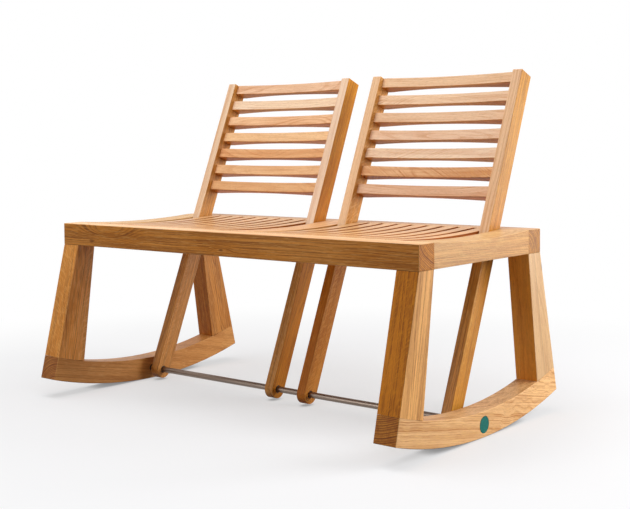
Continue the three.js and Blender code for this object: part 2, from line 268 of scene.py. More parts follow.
# %% Draw fibres, bands, clouds and pores
FIBRE_PACE = (5.0, 360.0, 360.0)
BAND_PACE = (1.6, 70.0, 70.0)
CLOUD_PACE = (3.0, 11.0, 11.0)
PORE_PACE, PORE_LIMITS, LATE_PORES = (55.0, 1500.0, 1500.0), (0.56, 0.70), 0.25
DASH_PACE, DASH_LIMITS = (30.0, 440.0, 440.0), (0.54, 0.66)


def draw_fibres(net, wood):
    """Adds strands, bands, clouds, pores and golden dashes."""
    place = wood.place
    wood.fibre = net.streaks(place, FIBRE_PACE, detail=3.0, roughness=0.6)
    wood.band = net.streaks(place, BAND_PACE)
    wood.cloud = net.streaks(place, CLOUD_PACE)
    pores = net.step(net.streaks(place, PORE_PACE, detail=1.0), *PORE_LIMITS)
    wood.pores = net.times(pores, net.sum("MULTIPLY_ADD", wood.early, 1 - LATE_PORES, LATE_PORES))
    wood.dashes = net.step(net.streaks(place, DASH_PACE, detail=1.0), *DASH_LIMITS)


print("strands are about", round(1 / FIBRE_PACE[1] / MM, 1), "mm wide")

# %% [markdown]
# ## Rays, and the faces of a board
#
# Rays run out from the pith like spokes. Where a face is cut across them, they show as short dark ticks,
# and where it is cut along them, on the quarter, as the pale flecks that oak is known for. They could be
# strewn on by hand, but the angle between a face and the way outward from the pith says by itself which of
# the two belongs there. A board's ends and its narrow edges are told apart by the way they face as well.

# %% Draw the rays and name the faces
TICK_PACE, TICK_LIMITS = (85.0, 130.0, 26.0), (0.57, 0.69)
FLECK_PACE, FLECK_LIMITS, FLECK_SLANT = (230.0, 85.0, 5.0), (0.50, 0.64), 1.3
QUARTER_CUT, PLAIN_CUT = 0.25, 0.75
FACE_FROM, FACE_FULL = 0.60, 0.90


def ray_marks(net, seed, ways, pace, limits):
    """Marks from a noise over three ways through the tree, each with its own pace."""
    first, second, third = (net.times(way, rate) for way, rate in zip(ways, pace))
    place = net.combine(first, second, net.sum("ADD", third, seed))
    return net.step(net.noise(place, detail=1.0), *limits)


def draw_rays(net, given, wood):
    """Adds the rays as ticks and as flecks, and says where a face is cut on the quarter."""
    ways = (wood.along, wood.spoke, wood.radius)
    wood.ticks = ray_marks(net, given["Seed"], ways, TICK_PACE, TICK_LIMITS)
    slant = net.sum("MULTIPLY_ADD", wood.radius, FLECK_SLANT, wood.along)
    ways = (slant, wood.radius, wood.spoke)
    wood.flecks = ray_marks(net, given["Seed"], ways, FLECK_PACE, FLECK_LIMITS)
    facing = net.sum("ABSOLUTE", net.vector("DOT_PRODUCT", given["Face"], wood.outward, result=1))
    wood.quarter = net.step(facing, PLAIN_CUT, QUARTER_CUT)


def name_faces(net, given, wood):
    """Tells a board's ends, sides and narrow edges apart by the way they face."""
    facing = net.split(given["Face"])
    wood.end = net.step(net.sum("ABSOLUTE", facing[0]), FACE_FROM, FACE_FULL)
    wood.side = net.sum("SUBTRACT", 1.0, wood.end)
    wood.edge = net.step(net.sum("ABSOLUTE", facing[1]), FACE_FROM, FACE_FULL)


print("an end looks within", round(math.degrees(math.acos(FACE_FULL))), "degrees of the grain")

# %% [markdown]
# ## Laying the colours
#
# A painter who imitates oak works in glazes, and so does this step. The ground is two warm browns in soft
# clouds. Faces turned upward take a painted sheen: they are mixed towards straw, and their lines turn pale.
# Over the ground go the early wood, the bands and the strands.

# %% Lay the ground and the dark lines
SHEEN_STRENGTH = 0.72
CLOUD_LIMITS = (0.30, 0.70)
BAND_LIMITS, BAND_STRENGTH, BAND_BASE, BAND_FIGURE = (0.42, 0.72), 0.45, 0.35, 0.65
STRAND_LIMITS, STRAND_STRENGTH, STRAND_BASE, STRAND_FIGURE = (0.46, 0.72), 0.52, 0.60, 0.40


def lay_ground(net, given, wood):
    """Returns the colour so far and the colour of the lines, which the pores take as well."""
    colour = net.blend(net.step(wood.cloud, *CLOUD_LIMITS), PALE_OAK, WARM_OAK)
    # painted sheen on faces that look up, together with the board's fade, mixes the ground towards straw
    sheen_or_fade = net.sum("MAXIMUM", net.times(given["Sheen"], SHEEN_STRENGTH), given["Fade"])
    colour = net.blend(sheen_or_fade, colour, SHEEN_AND_FADE_STRAW)
    line = net.blend(given["Sheen"], net.blend(given["Warm"], DARK_LINE, WARM_LINE), SHEEN_LINE)
    colour = net.blend(net.times(wood.year_line, given["Figure"]), colour, line)
    calm = net.sum("SUBTRACT", 1.0, net.times(wood.edge, given["Calm"]))
    banding = net.times(net.step(wood.band, *BAND_LIMITS, 0.0, BAND_STRENGTH),
                        net.sum("MULTIPLY_ADD", given["Figure"], BAND_FIGURE, BAND_BASE), calm)
    colour = net.blend(banding, colour, line)
    strands = net.times(net.step(wood.fibre, *STRAND_LIMITS, 0.0, STRAND_STRENGTH),
                        net.sum("MULTIPLY_ADD", given["Figure"], STRAND_FIGURE, STRAND_BASE))
    return net.blend(strands, colour, line), line


# the most painted sheen a face that looks up can take
print("full sun bleaches a face by", SHEEN_STRENGTH)

# %% [markdown]
# ## The details, and the tone of each face
#
# Golden dashes and flecks, dark ticks, the pores and the heart of a knot go on next. Ends drink the oil and
# come out darker, with their rings showing. Narrow edges take a tone of their own, a painted light and shade.
# The board's own tone multiplies everything, and the rounded edges are rubbed a little brighter. One ready
# brown would be quicker, but a glaze can be set by itself.

# %% Lay the details and tone the faces
DASH_STRENGTH, TICK_STRENGTH, PORE_STRENGTH = 0.24, 0.20, 0.50
END_RING_STRENGTH = 0.85
WEAR_LIMITS, WEAR_STRENGTH = (0.35, 0.65), 0.22


def lay_details(net, given, wood, colour, line):
    """Dashes, flecks, ticks, pores and the cores of knots."""
    dashes = net.times(wood.dashes, net.sum("SUBTRACT", wood.side, given["Sheen"]), DASH_STRENGTH)
    colour = net.blend(dashes, colour, FLECK_GOLD)
    flecks = net.times(wood.flecks, wood.quarter, wood.side, given["Rays"])
    colour = net.blend(flecks, colour, FLECK_GOLD)
    ticks = net.times(wood.ticks, net.sum("SUBTRACT", 1.0, wood.quarter), wood.side, TICK_STRENGTH)
    colour = net.blend(ticks, colour, PORE_BROWN)
    colour = net.blend(net.times(wood.pores, PORE_STRENGTH), colour, line)
    return net.blend(given["Core"], colour, PORE_BROWN)


def tone_faces(net, given, wood, colour):
    """The ends with their rings, the painted light and shade of narrow edges, the board's own tone and the
    worn arrises.
    """
    colour = net.blend(net.times(wood.ring_line, wood.end, END_RING_STRENGTH), colour, DARK_LINE)
    colour = net.blend(wood.end, colour, net.blend(1.0, colour, given["End"], "MULTIPLY"))
    # painted light and shade: narrow edges are multiplied by their own tone
    colour = net.blend(wood.edge, colour, net.blend(1.0, colour, given["Edge"], "MULTIPLY"))
    colour = net.blend(1.0, colour, given["Tone"], "MULTIPLY")
    worn = net.times(given["Arris"], net.step(wood.cloud, *WEAR_LIMITS, 0.0, WEAR_STRENGTH))
    return net.blend(worn, colour, FLECK_GOLD)


print("worn edges take up to", WEAR_STRENGTH, "of the golden glaze")

# %% [markdown]
# ## The oak as one group
#
# The steps so far only say how to build a net. It could be built anew for each of fifty boards, but a node
# group is built once, and each board only sets its inputs. Besides the colour it gives a roughness, higher in
# pores and on ends, and a height, in which pores and early wood lie deeper.

# %% Build the group
OAK_INPUTS = {"Vector": ("Board", "Face", "Pith", "Lean"),
              "Float": ("Sheen", "Ring", "Seed", "Stave", "Swell", "Core", "Arris", "Figure", "Warm", "Wave",
                        "Rays", "Fade", "Calm"),
              "Color": ("Tone", "End", "Edge")}
OAK_OUTPUTS = {"Color": ("Colour",), "Float": ("Roughness", "Height")}
SMOOTHEST, ROUGHEST = 0.44, 0.54
PORE_ROUGH, END_ROUGH, ARRIS_ROUGH = 0.18, 0.14, -0.08
FIBRE_HEIGHT, PORE_HEIGHT, LINE_HEIGHT = 0.45, -0.9, -0.35


def open_socket(tree, name, kind, direction="INPUT"):
    tree.interface.new_socket(name=name, socket_type="NodeSocket" + kind, in_out=direction)


def build_oak():
    group = bpy.data.node_groups.new("oiled_oak", "ShaderNodeTree")
    for sockets, direction in ((OAK_INPUTS, "INPUT"), (OAK_OUTPUTS, "OUTPUT")):
        for kind, names in sockets.items():
            for name in names:
                open_socket(group, name, kind, direction)
    net = Net(group)
    given = net.add("NodeGroupInput").outputs
    wood = find_place(net, given)
    grow_rings(net, given, wood)
    draw_fibres(net, wood)
    draw_rays(net, given, wood)
    name_faces(net, given, wood)
    colour, line = lay_ground(net, given, wood)
    colour = lay_details(net, given, wood, colour, line)
    colour = tone_faces(net, given, wood, colour)
    rough = net.sum("MULTIPLY_ADD", wood.pores, PORE_ROUGH,
                    net.step(wood.cloud, *CLOUD_LIMITS, SMOOTHEST, ROUGHEST))
    rough = net.sum("MULTIPLY_ADD", wood.end, END_ROUGH, rough)
    rough = net.sum("MULTIPLY_ADD", given["Arris"], ARRIS_ROUGH, rough)
    height = net.times(wood.fibre, FIBRE_HEIGHT)
    height = net.sum("MULTIPLY_ADD", wood.pores, PORE_HEIGHT, height)
    height = net.sum("MULTIPLY_ADD", wood.year_line, LINE_HEIGHT, height)
    net.add("NodeGroupOutput", {"Colour": colour, "Roughness": rough, "Height": height})
    return group


oak_group = build_oak()
print("the oak group has", len(oak_group.nodes), "nodes")

# %% [markdown]
# ## Knots, staves and painted sheen
#
# A knot swells the rings round itself and is dark at its core. A swirl is a knot that has healed over: it
# pulls the rings in and has no core. A leg may be glued from two staves, which changes the tree at the glue
# line. Faces above the seat that look up take a painted sheen, a pale straw that stands for the lamps' light.
# All this could be painted on, but worked out from the point's place it follows the wood through every face.

# %% Place knots, staves and the painted sheen
GLUE_LINE, GLUE_DARK = 1.2 * MM, 0.5
KNOT_STRETCH = (0.42, 1.0, 1.0)
CORE_INNER, CORE_OUTER, CORE_DARK = 0.05, 0.20, 0.62
SHEEN_FROM, SHEEN_FULL = 0.28, 0.375
LEVEL_FROM, LEVEL_FULL = 0.5, 0.9
# painted shade below the seat: under this height a stile takes its deeper tone, and no painted sheen
SEAT_SHADE_TOP = (440 * MM, 460 * MM)


def glue_staves(net, board, glue):
    """The second stave beyond the glue line at `glue`, and the thin dark line itself."""
    across = net.split(board)[1]
    from_line = net.sum("ABSOLUTE", net.sum("SUBTRACT", across, glue * MM))
    return {"Stave": net.sum("GREATER_THAN", across, glue * MM),
            "Core": net.step(from_line, 0.0, GLUE_LINE, GLUE_DARK, 0.0)}


def grow_knots(net, board, knots, feeds):
    """A knot is (along, across, deep, reach, push); with a push below nothing it is a swirl."""
    for x, y, z, reach, push in knots:
        gap = net.vector("MULTIPLY", net.vector("SUBTRACT", board, (x * MM, y * MM, z * MM)), KNOT_STRETCH)
        far = net.vector("LENGTH", gap, result=1)
        reach *= MM
        swell = net.step(far, 0.0, reach, push * MM, 0.0)
        feeds["Swell"] = net.sum("ADD", feeds["Swell"], swell) if "Swell" in feeds else swell
        if push > 0:
            core = net.step(far, CORE_INNER * reach, CORE_OUTER * reach, CORE_DARK, 0.0)
            feeds["Core"] = net.sum("MAXIMUM", feeds["Core"], core) if "Core" in feeds else core


def catch_sun(net, where, sun):
    """The painted sheen of faces that look up, how far a face looks up, and whether it stands above the seat.
    """
    upward = net.split(where["Normal"])[2]
    above_seat = net.step(net.split(where["Object"])[2], *SEAT_SHADE_TOP)
    # painted sheen: rises as a face looks up, is scaled on level tops, and stops below the seat
    sheen_mask = net.times(net.step(upward, SHEEN_FROM, SHEEN_FULL),
                    net.step(upward, LEVEL_FROM, LEVEL_FULL, 1.0, sun), above_seat)
    return sheen_mask, upward, above_seat


print("no sun reaches the wood below", SEAT_SHADE_TOP[0] / MM, "mm")

# %% [markdown]
# ## One board, one finish
#
# Every board has its own centre, its own direction of grain and its own place in the tree. The object's
# coordinates are turned into the board's: along the grain, across the face and into the depth. The finish
# then asks the oak group for colour, roughness and pore depth at that point. A board says where its pith
# lies and leans, how wide its rings are, how strong its figure and rays are, how warm its lines, how much it
# waves and is faded, and how calm its narrow edges are. The fade is partly a painted sheen, the edge tone a
# painted light and shade, and faces that look up take a painted sheen. Below the seat a painted shade gives
# a deeper tone, and so does a painted shade on a rocker's faces that turn down to the floor.
#
# The oil is a thin satin film on top of the wood. It could be mixed into the wood's own gloss, but a coat is
# the truer way, because the film is smoother than the wood below. It is thicker on the slats that are sat on
# and thinner on a dry leg.

# %% Make a finish for one board
GRAIN_DEPTH = 0.35 * MM
GRAIN_RELIEF = 0.5
OIL_IOR, WOOD_SHEEN = 1.45, 0.10
END_SHADE = (0.78, 0.72, 0.68)
# painted sheen: how much of it level tops take, unless a board says otherwise
HALF_SHEEN = 0.55
# painted shade on faces turned down to the floor: full at the first, none from the second
UNDERSIDE_SHADE_FULL, UNDERSIDE_SHADE_FROM = -0.6, -0.1


def new_material(name):
    """A material, the net for its nodes, and the sockets of its shader."""
    material = bpy.data.materials.new(name)
    material.use_nodes = True
    return material, Net(material.node_tree), material.node_tree.nodes["Principled BSDF"].inputs


def oak_finish(name, centre, grain, face, pith=(0.0, -60.0), lean=(10.0, 20.0), ring=4.0, seed=0.0,
               tone=(1.0, 1.0, 1.0), end_tone=END_SHADE, edge_tone=(1.0, 1.0, 1.0), figure=0.6,
               glue=None, sun=HALF_SHEEN, gloss=(0.25, 0.32), warm=0.0, wave=0.0, rays=0.36,
               fade=0.0, calm=0.0, shelter=None, sole=None, knots=()):
    """Lengths are in millimetres, and lean in millimetres a metre. `face` is the way the best face looks."""
    material, net, shader = new_material(name)
    grain = Vector(grain).normalized()
    face = (Vector(face) - grain * grain.dot(Vector(face))).normalized()
    turn = Matrix((grain, face.cross(grain), face)).transposed().to_euler()
    where = net.add("ShaderNodeTexCoord").outputs

    def turned(source, shift):
        return net.add("ShaderNodeMapping", {"Vector": source, "Location": shift, "Rotation": turn},
                       vector_type="TEXTURE").outputs[0]

    def colour_of(*factors):
        return (*(math.prod(parts) for parts in zip(*factors)), 1.0)

    board = turned(where["Object"], centre)
    sheen_mask, upward, above_seat = catch_sun(net, where, sun)
    feeds = {"Board": board, "Face": turned(where["Normal"], (0.0, 0.0, 0.0)), "Sheen": sheen_mask,
             "Pith": (0.0, pith[0] * MM, pith[1] * MM), "Lean": (0.0, lean[0] * MM, lean[1] * MM),
             "Ring": ring * MM, "Seed": seed, "Figure": figure, "Warm": warm, "Wave": wave * MM,
             "Rays": rays, "Fade": fade, "Calm": calm,
             "Tone": colour_of(tone), "End": colour_of(end_tone), "Edge": colour_of(edge_tone),
             "Arris": net.add("ShaderNodeAttribute", attribute_name="arris").outputs["Fac"]}
    # painted shade below the seat: a deeper tone where the seat shades the wood
    if shelter is not None:
        feeds["Tone"] = net.blend(above_seat, colour_of(tone, shelter), colour_of(tone))
    # painted shade on faces turned down, such as a rocker's lower arris
    if sole is not None:
        not_downward = net.step(upward, UNDERSIDE_SHADE_FULL, UNDERSIDE_SHADE_FROM)
        feeds["Tone"] = net.blend(not_downward, colour_of(tone, sole), colour_of(tone))
    if glue is not None:
        feeds.update(glue_staves(net, board, glue))
    grow_knots(net, board, knots, feeds)
    oak = net.add("ShaderNodeGroup", feeds, node_tree=oak_group).outputs
    bump = net.add("ShaderNodeBump", {"Height": oak["Height"], "Strength": GRAIN_RELIEF,
                                      "Distance": GRAIN_DEPTH})
    net.feed(shader, {"Base Color": oak["Colour"], "Roughness": oak["Roughness"], "Normal": bump.outputs[0],
                      "IOR": OIL_IOR, "Specular IOR Level": WOOD_SHEEN,
                      "Coat Weight": gloss[0], "Coat Roughness": gloss[1]})
    return material


def wear(piece, material):
    """Puts one finish on every slot of a piece."""
    mesh = nodes[piece].data
    if not mesh.materials:
        mesh.materials.append(material)
    for index in range(len(mesh.materials)):
        mesh.materials[index] = material


print("the grain is", GRAIN_DEPTH / MM, "mm deep")

# %% [markdown]
# ## Easing the arrises
#
# No joiner leaves an edge sharp: a few strokes of a plane or abrasive paper round it to a millimetre or two,
# and that narrow rounding is what catches the light. But where two boards meet in a joint, the edge stays
# crisp, or the joint would show a groove. A bevel modifier can round edges by their weight, so a small
# geometry net first gives each edge its weight: one where it is a true outside corner, nothing where it lies
# against a neighbour.

# %% Weigh the edges
CORNER_ANGLE = math.radians(24)
NEIGHBOURS = 3


def geometry_tree(name):
    tree = bpy.data.node_groups.new(name, "GeometryNodeTree")
    for direction in ("INPUT", "OUTPUT"):
        open_socket(tree, "Geometry", "Geometry", direction)
    return tree, Net(tree)


def store(net, geometry, name, value, domain):
    """Keeps a measured value on each edge or face, so that a later step can read it."""
    return net.add("GeometryNodeStoreNamedAttribute", {"Geometry": geometry, "Name": name, "Value": value},
                   data_type="FLOAT", domain=domain).outputs[0]


def build_weigher():
    tree, net = geometry_tree("weigh_edges")
    for index in range(NEIGHBOURS):
        open_socket(tree, f"Centre {index}", "Vector")
        open_socket(tree, f"Reach {index}", "Vector")
    given = net.add("NodeGroupInput").outputs
    place = net.add("GeometryNodeInputPosition").outputs[0]
    corner = net.add("GeometryNodeInputMeshEdgeAngle").outputs["Unsigned Angle"]
    weight = net.sum("GREATER_THAN", corner, CORNER_ANGLE)
    for index in range(NEIGHBOURS):
        gap = net.vector("ABSOLUTE", net.vector("SUBTRACT", place, given[f"Centre {index}"]))
        sides = net.split(net.vector("SUBTRACT", gap, given[f"Reach {index}"]))
        furthest = net.sum("MAXIMUM", net.sum("MAXIMUM", sides[0], sides[1]), sides[2])
        weight = net.times(weight, net.sum("GREATER_THAN", furthest, 0.0))
    weighed = store(net, given["Geometry"], "bevel_weight_edge", weight, "EDGE")
    net.add("NodeGroupOutput", {"Geometry": weighed})
    return tree


weigher = build_weigher()
print("edges sharper than", round(math.degrees(CORNER_ANGLE)), "degrees are weighed by", weigher.name)

# %% [markdown]
# ## Smoothing the curves and marking the arrises
#
# After the bevel a second net smooths the curves, but not the true corners. It also marks the narrow rounded
# strips, so that the finish can show them a little worn. They could be picked by hand, but a strip gives
# itself away: its area is small for the length of its edges.

# %% Smooth and mark
SMOOTH_ANGLE = math.radians(34)
STRIP_WIDTH = 5 * MM


def build_smoother():
    tree, net = geometry_tree("smooth_and_mark")
    given = net.add("NodeGroupInput").outputs
    ends = net.add("GeometryNodeInputMeshEdgeVertices").outputs
    length = net.vector("DISTANCE", ends["Position 1"], ends["Position 2"], result=1)
    mean = net.add("GeometryNodeFieldOnDomain", {0: length}, data_type="FLOAT", domain="EDGE").outputs[0]
    area = net.add("GeometryNodeInputMeshFaceArea").outputs[0]
    strip = net.sum("LESS_THAN", net.sum("DIVIDE", area, mean), STRIP_WIDTH)
    marked = store(net, given["Geometry"], "arris", strip, "FACE")
    faces = net.add("GeometryNodeSetShadeSmooth", {"Geometry": marked}, domain="FACE")
    corner = net.add("GeometryNodeInputMeshEdgeAngle").outputs["Unsigned Angle"]
    soft = net.add("FunctionNodeCompare", {0: corner, 1: SMOOTH_ANGLE}, data_type="FLOAT",
                   operation="LESS_THAN").outputs[0]
    edges = net.add("GeometryNodeSetShadeSmooth", {"Geometry": faces.outputs[0], "Shade Smooth": soft},
                    domain="EDGE")
    net.add("NodeGroupOutput", {"Geometry": edges.outputs[0]})
    return tree


smoother = build_smoother()
print("strips narrower than", STRIP_WIDTH / MM, "mm are marked by", smoother.name)

# %% [markdown]
# ## The steps of easing, in order
#
# The solid comes as many triangles, so its points are welded and its flat faces made whole first. Then the
# edges are weighed, bevelled and smoothed, and last each large face keeps its own even light. Modifiers do
# all this on top of the solid, which stays as it is.

# %% Ease one piece
WELD_GAP = 0.02 * MM
FLAT_ANGLE = math.radians(0.4)
TOUCH = 0.6 * MM
BEVEL_STEPS = 3
NO_NEIGHBOUR = Vector((-1.0, -1.0, -1.0))


def ease(piece, width, against=()):
    """Rounds outside edges by `width` millimetres; `against` holds the neighbours' names or boxes."""
    target = nodes[piece]
    weld = target.modifiers.new("weld", "WELD")
    weld.merge_threshold = WELD_GAP
    flats = target.modifiers.new("flats", "DECIMATE")
    flats.decimate_type = "DISSOLVE"
    flats.angle_limit = FLAT_ANGLE
    weigh = target.modifiers.new("weigh", "NODES")
    weigh.node_group = weigher
    inputs = {item.name: item.identifier for item in weigher.interface.items_tree if item.in_out == "INPUT"}
    boxes = [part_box(entry) if isinstance(entry, str) else entry for entry in against]
    for index, (low, high) in enumerate(boxes):
        low, high = Vector(low), Vector(high)
        weigh[inputs[f"Centre {index}"]] = (low + high) / 2
        weigh[inputs[f"Reach {index}"]] = (high - low) / 2 + Vector((TOUCH, TOUCH, TOUCH))
    for index in range(len(boxes), NEIGHBOURS):
        weigh[inputs[f"Reach {index}"]] = NO_NEIGHBOUR
    bevel = target.modifiers.new("bevel", "BEVEL")
    bevel.limit_method = "WEIGHT"
    bevel.width = width * MM
    bevel.segments = BEVEL_STEPS
    bevel.use_clamp_overlap = False
    finish = target.modifiers.new("smooth", "NODES")
    finish.node_group = smoother
    level = target.modifiers.new("level", "WEIGHTED_NORMAL")
    level.keep_sharp = True


print("an arris gets", BEVEL_STEPS, "facets; joints within", TOUCH / MM, "mm stay crisp")

# %% [markdown]
# ## Directions and luck
#
# A joiner marks each board's face side and the run of its grain, so those few directions are named here.
# What nobody would choose on purpose, such as where a slat's pith lay, is left to a seeded luck: no two
# boards are alike, and each run of this lesson still gives the same bench.

# %% Name the ways and seed the luck
ALONG = (1.0, 0.0, 0.0)
REARWARD = (0.0, 1.0, 0.0)
TOP = (0.0, 0.0, 1.0)
FRONT = (0.0, -1.0, 0.0)
OUTER = {"left": (-1.0, 0.0, 0.0), "right": (1.0, 0.0, 0.0)}
SIDES = ("left", "right")
luck = Random(11)
SEEDS, RINGS = (0, 40), (3.4, 5.0)
PITH_ACROSS, PITH_DEEP = (-70, 70), (35, 90)
LEAN_ACROSS, LEAN_DEEP = (-25, 25), (-40, 40)
BLUE_SHIFT = 1.5


def middle(piece):
    low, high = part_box(piece)
    return (low + high) / 2


def shades(spread=0.05):
    """A board is a little lighter, darker, redder or yellower than the next."""
    level = 1 + luck.uniform(-spread, spread)
    warmth = luck.uniform(-0.5, 0.5) * spread
    return (level * (1 + warmth), level, level * (1 - BLUE_SHIFT * warmth))


def board(piece, grain, face, **kind):
    """Finishes one board; what `kind` doesn't say is left to luck."""
    settings = {"seed": luck.uniform(*SEEDS), "pith": (luck.uniform(*PITH_ACROSS), -luck.uniform(*PITH_DEEP)),
                "lean": (luck.uniform(*LEAN_ACROSS), luck.uniform(*LEAN_DEEP)), "ring": luck.uniform(*RINGS),
                "tone": shades()}
    settings.update(kind)
    wear(piece, oak_finish("oak_" + piece, middle(piece), grain, face, **settings))


print("the right rocker's middle is at", [round(value, 3) for value in middle("right_rocker")])

# %% [markdown]
# ## The boards of the seat
#
# The two long rails run through to the corners, so their end grain shows on the bench's sides. The front rail
# is the piece that is seen most: its face is cut between flat and quarter, with long fine lines, and it has
# two small knots and a swirl near its left end. The end rails and the slats run from front to rear. All their
# tops carry a painted sheen, while the slats' narrow side walls are given a darker edge tone, a painted shade
# between the slats. That makes the seat read as slats and not as a board.

# %% Finish the rails and the seat slats
SEAT_TONE = (0.85, 0.75, 0.58)
SEAT_SLATS = range(1, 10)
FRONT_KNOTS = ((-480, -15, 30, 31, 9), (-412, 10, 30, 70, -20), (10, -14, 30, 22, 8))

# the front rail's top takes extra painted sheen
board("front_rail", ALONG, FRONT, pith=(64, -58), lean=(10, 6), ring=4.4, figure=0.95,
      tone=(0.99, 0.92, 0.81), end_tone=(1.05, 1.07, 0.80), sun=1.3, gloss=(0.10, 0.30), knots=FRONT_KNOTS)
board("rear_rail", ALONG, REARWARD, end_tone=(0.86, 0.86, 0.68))
for side in SIDES:
    board(f"{side}_end_rail", REARWARD, OUTER[side], pith=(-115, -15), lean=(-40, 20), figure=0.75,
          warm=0.6, rays=0.2, fade=0.10, tone=(0.95, 1.02, 0.91))
board("centre_rail", REARWARD, TOP)
for side in SIDES:
    for number in SEAT_SLATS:
        slat_tone = [own * seat for own, seat in zip(shades(0.04), SEAT_TONE)]
        # painted sheen on the slats' tops, and a darker edge tone as painted shade on their side walls
        board(f"{side}_seat_slat_{number}", REARWARD, TOP, figure=0.5, sun=0.92, tone=slat_tone,
              gloss=(0.30, 0.26), edge_tone=(0.72, 0.46, 0.18))
print("seat finished:", 2 * len(SEAT_SLATS), "slats and 5 rails")

# %% [markdown]
# ## Easing the seat
#
# The slats and the cross rails end in mortises in the inner faces of the long rails, and all edges in a joint
# stay crisp. So a long rail is told of one box round all its mortises, and the others of the long rails. The
# slats' edges are rounded least, or the gaps between them would look wide.

# %% Ease the seat
MORTISE_DEEP, MORTISE_CHEEK = 25 * MM, 3 * MM
LONG_RAILS = ("front_rail", "rear_rail")
RAIL_ROUND, CROSS_RAIL_ROUND, SEAT_SLAT_ROUND = 1.8, 1.6, 0.7

for piece in LONG_RAILS:
    low, high = (Vector(corner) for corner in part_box(piece))
    if piece == "front_rail":
        low.y = high.y - MORTISE_DEEP
    else:
        high.y = low.y + MORTISE_DEEP
    low.z += MORTISE_CHEEK
    high.z -= MORTISE_CHEEK
    ease(piece, RAIL_ROUND, [(low, high)])
for piece in ("left_end_rail", "right_end_rail", "centre_rail"):
    ease(piece, CROSS_RAIL_ROUND, LONG_RAILS)
for side in SIDES:
    for number in SEAT_SLATS:
        ease(f"{side}_seat_slat_{number}", SEAT_SLAT_ROUND, LONG_RAILS)
print("seat eased by", SEAT_SLAT_ROUND, "to", RAIL_ROUND, "mm")

# %% [markdown]
# ## The legs
#
# Each leg widens towards its foot and is glued from two staves, so its side shows two different boards, and
# its front face is cut on the quarter, with pale flecks. All boards could share one colour, but real ones
# come from many trees. So each board names its own tone, which multiplies the wood, its own strength of
# figure, and where it is pale, how far it is faded. On the lit right-hand legs the fade is partly a painted
# sheen, and each leg's edge tone paints the light and shade of its narrow faces.

# %% Choose the boards of the legs
LEG_SPLAY = math.radians(10.8)
LEG_ROUND = 1.8
LEG_PITH_ACROSS, LEG_PITH_DEEP = (-12, 12), -52
LEG_LEAN_ACROSS, LEG_LEAN_DEEP = (-10, 10), 70
LEG_GLUE = -9
# painted shade: the legs' front and rear faces are darker than their sides
LEG_EDGE_SHADING = (0.84, 0.70, 0.45)
LEG_BOARDS = {
    ("left", "front"): {"tone": (1.36, 1.30, 1.44), "figure": 0.8, "edge_tone": (0.82, 0.78, 0.56)},
    ("left", "rear"): {"tone": (0.94, 0.86, 0.78), "figure": 0.8},
    # on the lit right-hand legs the fade is partly painted sheen, and the edge tones paint the light and
    # shade of their fronts
    ("right", "front"): {"tone": (1.18, 1.16, 0.96), "fade": 0.24, "gloss": (0.05, 0.35), "figure": 0.9,
                         "pith": (-40, -52), "lean": (6, 16), "ring": 5.0, "edge_tone": (0.70, 0.45, 0.07)},
    ("right", "rear"): {"tone": (0.88, 0.98, 1.02), "fade": 0.35, "figure": 0.3, "warm": 0.9,
                        "edge_tone": (1.34, 0.92, 0.28), "knots": ((-122, 24, 30, 36, 4),)}}


def finish_leg(side, row, way):
    """A leg splays to the front or the rear, and its glue line lies on the inner side of the frame."""
    turn = 1 if side == "right" else -1
    kind = {"pith": (luck.uniform(*LEG_PITH_ACROSS), LEG_PITH_DEEP),
            "lean": (luck.uniform(*LEG_LEAN_ACROSS), LEG_LEAN_DEEP * turn),
            "glue": way * turn * LEG_GLUE, "edge_tone": LEG_EDGE_SHADING, **LEG_BOARDS[side, row]}
    down_grain = (0.0, way * math.sin(LEG_SPLAY), -math.cos(LEG_SPLAY))
    board(f"{side}_{row}_leg", down_grain, OUTER[side], **kind)
    ease(f"{side}_{row}_leg", LEG_ROUND, [f"{row}_rail", f"{side}_rocker"])


print("the legs splay by", round(math.degrees(LEG_SPLAY), 1), "degrees")

# %% [markdown]
# ## The rockers
#
# A rocker is sawn from one thick plank, with its grain a little downhill from front to rear. The grain is
# straight in front and wavy towards the rear. Bent wood would have its grain run round the curve, but here
# the curved edges run out across it. The ends, cut in line with the legs, show dark end grain, and the sole
# takes a painted shade. Each side frame is finished as one, with its legs first.

# %% Finish the rockers, and the legs with them
GRAIN_FALL = math.radians(11)
ROCKER_ROUND = 1.8
ROCKER_GRAIN = (0.0, math.cos(GRAIN_FALL), -math.sin(GRAIN_FALL))
# the sole is a painted shade on the rocker's faces that turn down
ROCKER_KIND = {"pith": (95, -30), "lean": (12, 10), "ring": 5.0, "figure": 1.0, "warm": 0.9, "rays": 0.05,
               "sole": (0.30, 0.25, 0.25)}
ROCKER_BOARDS = {
    "left": {"wave": 16, "fade": 0.08, "tone": (0.95, 0.93, 0.93), "end_tone": (0.72, 0.62, 0.44)},
    # the right rocker's fade is partly painted sheen of its lit outer side
    "right": {"wave": 28, "fade": 0.40, "tone": (1.08, 1.12, 1.04), "gloss": (0.12, 0.34),
              "end_tone": (0.60, 0.38, 0.10)}}
FRONT_LEG_FOOT, REAR_LEG_FOOT, FOOT_HEIGHT = -262 * MM, 252 * MM, 86.5 * MM


def leg_feet(low, high):
    """The boxes in which the legs stand on a rocker, where its edges stay crisp."""
    return [(Vector((low.x, start, FOOT_HEIGHT)), Vector((high.x, stop, high.z)))
            for start, stop in ((low.y, FRONT_LEG_FOOT), (REAR_LEG_FOOT, high.y))]


for side in SIDES:
    finish_leg(side, "front", -1)
    finish_leg(side, "rear", 1)
    board(f"{side}_rocker", ROCKER_GRAIN, OUTER[side], **ROCKER_KIND, **ROCKER_BOARDS[side])
    ease(f"{side}_rocker", ROCKER_ROUND, leg_feet(*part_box(f"{side}_rocker")))
print("legs and rockers finished and eased")
